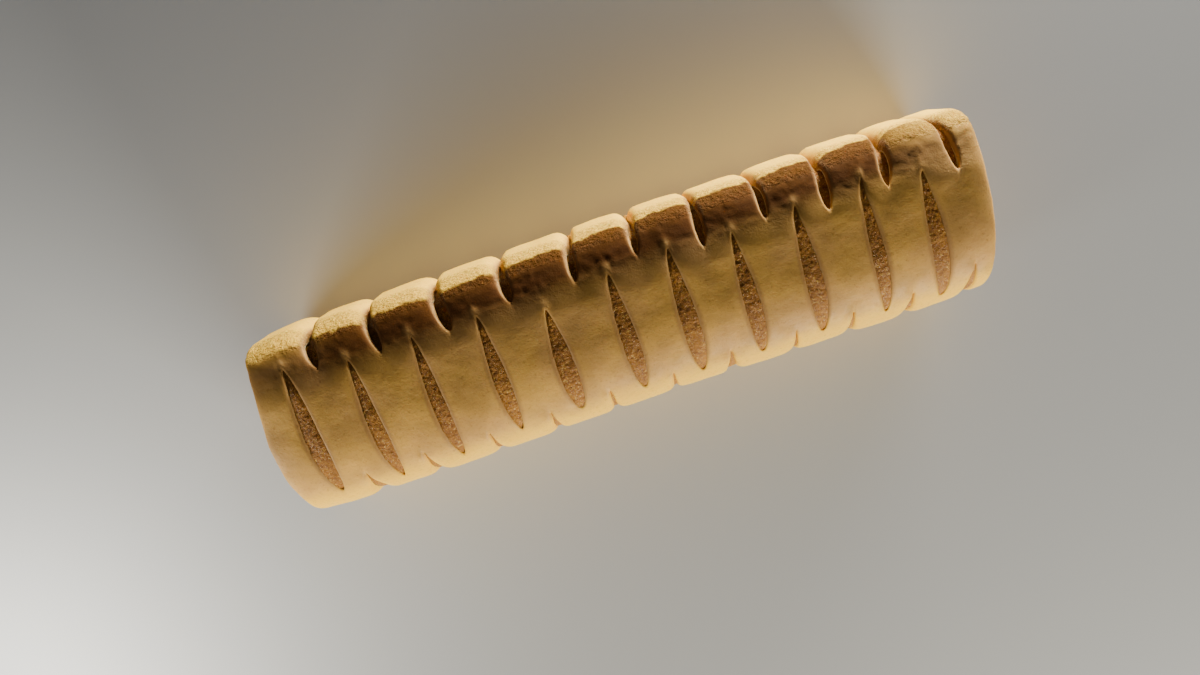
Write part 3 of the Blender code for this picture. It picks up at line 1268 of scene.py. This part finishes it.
@dataclass(frozen=True)
class BakedPastry:
    """Gold pastry, paler down its sides and in its slits and dark along its back shoulder.

    The gold top and the paler sides are partly baked colour and partly painted light and shade. The
    dark strip below the back shoulder is partly baked browning and partly painted shade, and
    painted highlights lighten the lips of the shoulder slits and the nearer tips of the top slits.

    Spans are distances round the wrap in millimetres, apart from the two fades, which are places
    along the roll in metres. A skew is how far a border drifts round the wrap for each metre along.
    """

    cream: Colour = (0.86, 0.52, 0.060, 1.0)
    gold: Colour = (0.59, 0.343, 0.115, 1.0)
    ochre: Colour = (0.37, 0.22, 0.060, 1.0)
    brown: Colour = (0.17, 0.060, 0.012, 1.0)
    dark: Colour = (0.055, 0.013, 0.0010, 1.0)
    stain: Colour = (0.33, 0.18, 0.075, 1.0)
    dough: Colour = (0.56, 0.41, 0.21, 1.0)
    border: Grain = Grain(420.0)
    border_reach: float = 3.0
    top_back: Span = (-21.0, -15.0)
    top_front: Span = (18.5, 11.5)
    mottle: Patches = Patches(Grain(75.0, 3.0, 0.55), (0.36, 0.66), 0.30)
    olive: Patches = Patches(Grain(120.0, 2.0), (0.42, 0.66), 0.42)
    # The dark strip below the back shoulder, partly baked browning and partly painted shade.
    browned_shade_skew: float = 42.0
    browned_shade_back: Span = (-22.4, -21.2)
    browned_shade_front_skew: float = 10.0
    browned_shade_front: Span = (-5.5, -15.0)
    browned_shade_share: float = 0.95
    browned_shade_dullness: float = 0.35
    right_fade: Span = (0.056, 0.080)
    right_fade_to: Span = (1.0, 0.3)
    left_fade: Span = (-0.074, -0.056)
    left_fade_to: Span = (0.65, 1.0)
    stain_levels: Span = (0.45, 0.95)
    stain_share: float = 0.7
    base: Span = (41.0, 50.0)
    base_share: float = 0.55
    freckles: Patches = Patches(Grain(1300.0, 1.0), (0.66, 0.74), 0.25)
    band_back: Span = (-31.0, -25.0)
    band_front: Span = (-17.5, -19.0)
    flecks: Patches = Patches(Grain(1500.0, 3.0, 0.75), (0.48, 0.64), 0.14)
    flecks_in_band: float = 0.3
    dough_depth: Span = (0.05, 0.35)
    gloss: Grain = Grain(400.0)
    gloss_levels: Span = (0.3, 0.7)
    gloss_range: Span = (0.42, 0.62)
    crust_dents: Dents = Dents(Grain(900.0, 3.0, 0.6), 0.00012, 0.5)
    flaky_dents: Dents = Dents(Grain(900.0, 4.0, 0.75), 0.0014, 1.0)
    fine_dents: Dents = Dents(Grain(3200.0, 2.0, 0.6), 0.00008, 0.5)

    def browned_shade(self, sketch: NodeSketch, ragged: Socket) -> Socket:
        """The dark strip below the back shoulder, partly baked browning and partly painted shade.

        Args:
            sketch: The material.
            ragged: How far a ragged border strays, in millimetres.

        Returns:
            Its share, from 0 to 1, which fades towards the cut ends.
        """
        distance = sketch.painted("round_wrap")
        along = sketch.add("ShaderNodeSeparateXYZ", {0: sketch.place}).outputs["X"]
        askew = sketch.plus(distance, sketch.times(along, self.browned_shade_skew))
        front = sketch.plus(distance, sketch.times(along, self.browned_shade_front_skew))
        browned_shade = sketch.times(
            sketch.span(sketch.plus(askew, ragged), self.browned_shade_back),
            sketch.span(front, self.browned_shade_front),
        )
        browned_shade = sketch.times(browned_shade, sketch.span(along, self.right_fade, self.right_fade_to))
        return sketch.times(browned_shade, sketch.span(along, self.left_fade, self.left_fade_to))

    def material(self) -> bpy.types.Material:
        """Builds the material.

        Returns:
            The material.
        """
        sketch = NodeSketch("baked_pastry")
        distance = sketch.painted("round_wrap")
        ragged = sketch.times(sketch.centred(self.border), self.border_reach)
        ragged_front = sketch.span(sketch.plus(distance, ragged), self.top_front)
        on_top = sketch.times(sketch.span(distance, self.top_back), ragged_front)
        band = sketch.times(
            sketch.span(distance, self.band_back), sketch.span(distance, self.band_front)
        )
        browned_shade = self.browned_shade(sketch, ragged)

        # The top is darker gold than the paler sides, partly baked colour and partly painted light
        # and shade.
        crust = sketch.blend(on_top, self.cream, self.gold)
        crust = sketch.patch(self.mottle, crust, self.cream)
        olive = sketch.span(sketch.noise(self.olive.grain), self.olive.levels)
        olive = sketch.times(olive, sketch.times(on_top, self.olive.share))
        crust = sketch.blend(olive, crust, self.ochre)
        # Painted shade, with some baked browning, darkens the strip below the back shoulder.
        crust = sketch.blend(sketch.times(browned_shade, self.browned_shade_share), crust, self.dark)
        # Painted highlights lighten the slits' lips and tips.
        crust = sketch.blend(sketch.painted("lip_highlight"), crust, self.gold)
        stained = sketch.span(sketch.painted("by_slit"), self.stain_levels)
        crust = sketch.blend(sketch.times(stained, self.stain_share), crust, self.stain)
        base = sketch.span(sketch.math("ABSOLUTE", distance), self.base)
        crust = sketch.blend(sketch.times(base, self.base_share), crust, self.brown)
        crust = sketch.patch(self.freckles, crust, self.brown)
        flecks = sketch.span(sketch.noise(self.flecks.grain), self.flecks.levels)
        share = sketch.plus(sketch.times(band, self.flecks_in_band), self.flecks.share)
        crust = sketch.blend(sketch.times(flecks, share), crust, self.brown)
        inside = sketch.span(sketch.painted("depth"), self.dough_depth)
        crust = sketch.blend(inside, crust, self.dough)

        gloss = sketch.span(sketch.noise(self.gloss), self.gloss_levels, self.gloss_range)
        gloss = sketch.plus(gloss, sketch.times(browned_shade, self.browned_shade_dullness))
        flaky = self.flaky_dents
        sketch.dent(self.crust_dents)
        unevenness = sketch.times(band, sketch.centred(flaky.grain))
        sketch.bump(unevenness, flaky.depth, flaky.strength)
        sketch.dent(self.fine_dents)
        return sketch.finish(
            Base_Color=crust,
            Roughness=gloss,
            Subsurface_Weight=0.18,
            Subsurface_Radius=(1.0, 0.5, 0.2),
            Subsurface_Scale=0.0016,
            Specular_IOR_Level=0.09,
        )


@dataclass(frozen=True)
class CookedMince:
    """Cooked minced meat: brown, with paler fat, darker patches, painted shade in its pits and a
    paler skin at its rim.
    """

    lean: Colour = (0.40, 0.175, 0.024, 1.0)
    fat: Colour = (0.68, 0.43, 0.10, 1.0)
    hollow: Colour = (0.19, 0.070, 0.014, 1.0)
    skin: Colour = (0.40, 0.200, 0.026, 1.0)
    tone: Patches = Patches(Grain(110.0, 2.0), (0.40, 0.62), 0.4)
    # Painted shade for the pits between grains.
    pit_shade: Patches = Patches(Grain(1300.0, 4.0, 0.7), (0.52, 0.38), 0.8)
    specks: Patches = Patches(Grain(1500.0, 3.0, 0.7), (0.57, 0.66), 0.7)
    skin_share: float = 0.65
    gloss: Grain = Grain(1900.0)
    gloss_levels: Span = (0.40, 0.60)
    gloss_range: Span = (0.26, 0.72)
    dents: Dents = Dents(Grain(1600.0, 4.0, 0.75), 0.00030, 0.95)

    def material(self) -> bpy.types.Material:
        """Builds the material.

        Returns:
            The material.
        """
        sketch = NodeSketch("cooked_mince")
        meat = sketch.patch(self.tone, self.lean, self.hollow)
        # Dark pits are painted shade standing in for the hollows between grains.
        meat = sketch.patch(self.pit_shade, meat, self.hollow)
        meat = sketch.patch(self.specks, meat, self.fat)
        rim = sketch.times(sketch.painted("rim"), self.skin_share)
        sketch.dent(self.dents)
        return sketch.finish(
            Base_Color=sketch.blend(rim, meat, self.skin),
            Roughness=sketch.span(sketch.noise(self.gloss), self.gloss_levels, self.gloss_range),
            Subsurface_Weight=0.1,
            Subsurface_Radius=(1.0, 0.4, 0.25),
            Subsurface_Scale=0.001,
            Specular_IOR_Level=0.20,
        )


@dataclass(frozen=True)
class PaleFloor:
    """A plain pale surface under the roll."""

    size: float = 3.0
    colour: Colour = (0.50, 0.53, 0.58, 1.0)
    roughness: float = 0.85

    def build(self) -> Piece:
        """Lays the floor.

        Returns:
            The floor.
        """
        clear()
        bpy.ops.mesh.primitive_plane_add(size=self.size)
        floor = bpy.context.object
        floor.name = floor.data.name = "floor"
        inputs = {"Base_Color": self.colour, "Roughness": self.roughness}
        floor.data.materials.append(NodeSketch("pale_floor").finish(**inputs))
        return floor


@dataclass(frozen=True)
class Lamp:
    """A soft lamp that looks at the roll."""

    name: str
    place: tuple[float, float, float]
    size: tuple[float, float]
    power: float
    colour: tuple[float, float, float]
    aim: tuple[float, float, float] = (0.0, 0.0, 0.015)

    def build(self) -> None:
        """Hangs the lamp and points it."""
        data = bpy.data.lights.new(self.name, "AREA")
        data.shape = "RECTANGLE"
        data.size, data.size_y = self.size
        data.energy = self.power
        data.color = self.colour
        lamp = bpy.data.objects.new(self.name, data)
        bpy.context.scene.collection.objects.link(lamp)
        lamp.visible_camera = False
        lamp.location = self.place
        ahead = Vector(self.aim) - Vector(self.place)
        lamp.rotation_euler = ahead.to_track_quat("-Z", "Y").to_euler()


LAMPS = (
    Lamp("front_lamp", (0.17, -0.60, 0.135), (0.34, 0.09), 8.2, (1.0, 0.91, 0.72)),
    Lamp("back_lamp", (0.22, 0.27, 0.010), (0.16, 0.018), 5.2, (1.0, 0.94, 0.84)),
    Lamp("end_lamp", (-0.20, -0.06, 0.055), (0.08, 0.030), 0.33, (1.0, 0.92, 0.76)),
)


@dataclass(frozen=True)
class Surround:
    """A dim, even surround."""

    colour: Colour = (1.0, 0.97, 0.93, 1.0)
    strength: float = 0.085

    def build(self) -> None:
        """Sets the world's background."""
        world = bpy.data.worlds.new("surround")
        world.use_nodes = True
        background = world.node_tree.nodes["Background"]
        background.inputs["Color"].default_value = self.colour
        background.inputs["Strength"].default_value = self.strength
        bpy.context.scene.world = world


@dataclass(frozen=True)
class Viewpoint:
    """The camera, close over the roll: its place, and its turns in degrees round X, Y and Z."""

    place: tuple[float, float, float] = (-0.00062, 0.0382, 0.2098)
    turns: tuple[float, float, float] = (-12.25, 1.78, -18.87)
    focal_length: float = 26.4
    sensor: float = 36.0
    nearest: float = 0.005

    def build(self) -> None:
        """Sets up the camera."""
        data = bpy.data.cameras.new("camera")
        data.lens = self.focal_length
        data.sensor_width = self.sensor
        data.sensor_fit = "HORIZONTAL"
        data.clip_start = self.nearest
        camera = bpy.data.objects.new("camera", data)
        bpy.context.scene.collection.objects.link(camera)
        matrix = Matrix.Translation(self.place)
        for axis, turn in zip("XYZ", self.turns):
            matrix = matrix @ Matrix.Rotation(math.radians(turn), 4, axis)
        camera.matrix_world = matrix
        bpy.context.scene.camera = camera


def main() -> None:
    """Builds the roll piece by piece, dresses it and sets up the view."""
    logging.basicConfig(level=logging.INFO, format="%(name)s: %(message)s")
    for part in (Viewpoint(), *LAMPS, Surround(), PaleFloor()):
        part.build()
    low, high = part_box("pastry")
    length, width, height = ((end - start) / MM for start, end in zip(low, high))
    section = Section(width / 2 - ROOM_FOR_RELIEF, height - ROOM_FOR_RELIEF)
    wrap = PastryWrap(section, length)
    pastry = wrap.build()
    core, in_slits = SausageMeat(section, length, wrap).build()
    crust, mince = BakedPastry().material(), CookedMince().material()
    for piece, finish in ((pastry, crust), (core, mince), (in_slits, mince)):
        piece.data.materials.append(finish)
        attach(piece, "root")
        LOG.info("%s: %d faces", piece.name, len(piece.data.polygons))
    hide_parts("pastry")
    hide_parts("filling")


if __name__ == "__main__":
    main()
